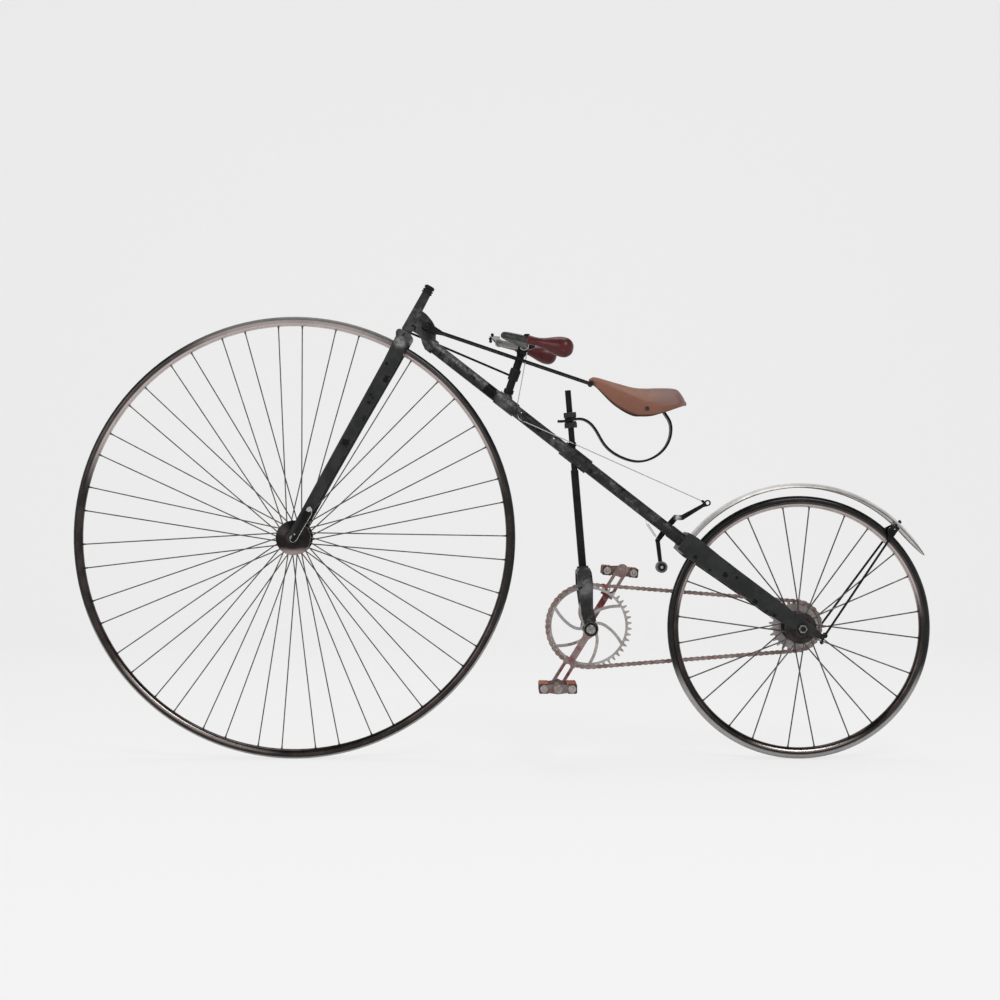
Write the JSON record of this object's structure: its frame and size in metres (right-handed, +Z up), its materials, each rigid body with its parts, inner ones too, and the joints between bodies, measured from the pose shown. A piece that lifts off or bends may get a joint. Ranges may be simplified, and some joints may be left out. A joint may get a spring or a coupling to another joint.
{
  "type": "rear-driven penny farthing bicycle",
  "caption": "Antique bicycle with a large steered front wheel, a small chain-driven rear wheel, linkage steering, cranks below a sprung leather saddle, and a roller brake.",
  "frame": {"origin": "where the rider sits, at the middle of the saddle's top", "axes": "the bicycle faces -X, its left side is -Y and +Z is up"},
  "size_m": [1.9689, 0.5001, 1.0904],
  "materials": {
    "worn_black_enamel": "worn black enamel with chips",
    "dull_steel": "dull grey steel",
    "dark_spoke_steel": "dark oxidised steel wire",
    "nickel_plate": "worn nickel plate",
    "hub_steel": "dark polished steel",
    "bar_steel": "dark bare steel",
    "rusty_chain": "rusty steel",
    "rusty_gear": "grey steel with rust",
    "rusty_crank": "rusty steel with red paint traces",
    "black_tyre_rubber": "glossy solid rubber",
    "roller_rubber": "black rubber",
    "pedal_rubber": "aged orange rubber",
    "varnished_wood": "dark red varnished wood",
    "saddle_hide": "brown saddle leather",
    "brake_cord": "grey twisted cord"
  },
  "bodies": {
    "frame": {"backbone": "worn_black_enamel", "head_and_neck": "worn_black_enamel", "handlebar_lug": "worn_black_enamel", "seat_lug": "worn_black_enamel", "seat_post": "worn_black_enamel", "crank_bracket": "worn_black_enamel", "rear_fork_crown": "worn_black_enamel", "rear_fork_blade_left": "worn_black_enamel", "rear_fork_blade_right": "worn_black_enamel", "rear_axle": "dull_steel", "chain_outer_plates": "rusty_chain", "chain_inner_plates": "rusty_chain", "chain_rollers": "rusty_chain", "saddle_bars": "worn_black_enamel", "neck_bolt": "dull_steel", "nose_bolt": "dull_steel", "saddle_spring": "worn_black_enamel", "spring_clamp": "worn_black_enamel", "saddle_leather": "saddle_hide", "mudguard": "nickel_plate", "mudguard_stays": "worn_black_enamel", "brake_lever": "worn_black_enamel", "brake_pivot": "dull_steel", "brake_roller": "roller_rubber", "brake_roller_pin": "dull_steel", "brake_cord": "brake_cord"},
    "fork": {"front_fork_crown": "worn_black_enamel", "front_fork_blade_left": "worn_black_enamel", "front_fork_blade_right": "worn_black_enamel", "head_nuts": "worn_black_enamel", "front_axle": "dull_steel", "fork_end_straps": "worn_black_enamel"},
    "front_wheel": {"front_hub": "hub_steel", "front_spokes": "dark_spoke_steel", "front_rim": "nickel_plate", "front_tyre": "black_tyre_rubber"},
    "handlebar": {"handlebar_post": "worn_black_enamel", "handlebar": "bar_steel", "grip_left": "varnished_wood", "grip_right": "varnished_wood", "steering_arm": "worn_black_enamel", "cord_turns": "brake_cord"},
    "steering_rod": {"steering_rod": "dull_steel"},
    "rear_wheel": {"rear_hub": "hub_steel", "rear_sprocket": "rusty_gear", "rear_spokes": "dark_spoke_steel", "rear_rim": "nickel_plate", "rear_tyre": "black_tyre_rubber"},
    "crank_set": {"chainwheel": "rusty_gear", "crank_axle": "rusty_crank", "crank_left": "rusty_crank", "crank_right": "rusty_crank", "pedal_pin_left": "rusty_crank", "pedal_pin_right": "rusty_crank"},
    "pedal_left": {"pedal_frame_left": "dull_steel", "pedal_blocks_left": "pedal_rubber"},
    "pedal_right": {"pedal_frame_right": "dull_steel", "pedal_blocks_right": "pedal_rubber"}
  },
  "joints": [
    {"name": "fork_steer", "type": "hinge", "parent": "frame", "child": "fork", "pos_m": [-0.829, 0, -0.343], "axis": [0.4756, 0, 0.8796], "range_deg": [-25, 25]},
    {"name": "front_wheel_spin", "type": "hinge", "parent": "fork", "child": "front_wheel", "pos_m": [-0.829, 0, -0.343], "axis": [0, 1, 0], "continuous": true},
    {"name": "handlebar_turn", "type": "hinge", "parent": "frame", "child": "handlebar", "pos_m": [-0.34512, 0, -0.03261], "axis": [0.3173, 0, 0.9483], "range_deg": [-25, 25]},
    {"name": "steering_rod_swing", "type": "hinge", "parent": "handlebar", "child": "steering_rod", "pos_m": [-0.32433, 0.047, 0.02951], "axis": [0.3173, 0, 0.9483], "range_deg": [-25, 25]},
    {"name": "rear_wheel_spin", "type": "hinge", "parent": "frame", "child": "rear_wheel", "pos_m": [0.33, 0, -0.549], "axis": [0, 1, 0], "continuous": true},
    {"name": "crank_spin", "type": "hinge", "parent": "frame", "child": "crank_set", "pos_m": [-0.151, 0, -0.549], "axis": [0, 1, 0], "continuous": true},
    {"name": "left_pedal_spin", "type": "hinge", "parent": "crank_set", "child": "pedal_left", "pos_m": [-0.22837, -0.126, -0.67282], "axis": [0, 1, 0], "continuous": true},
    {"name": "right_pedal_spin", "type": "hinge", "parent": "crank_set", "child": "pedal_right", "pos_m": [-0.07363, 0.126, -0.42518], "axis": [0, 1, 0], "continuous": true}
  ],
  "couplings": [
    {"joint": "handlebar_turn", "follows": "fork_steer", "ratio": 1},
    {"joint": "steering_rod_swing", "follows": "fork_steer", "ratio": -1},
    {"joint": "crank_spin", "follows": "rear_wheel_spin", "ratio": 0.6}
  ]
}
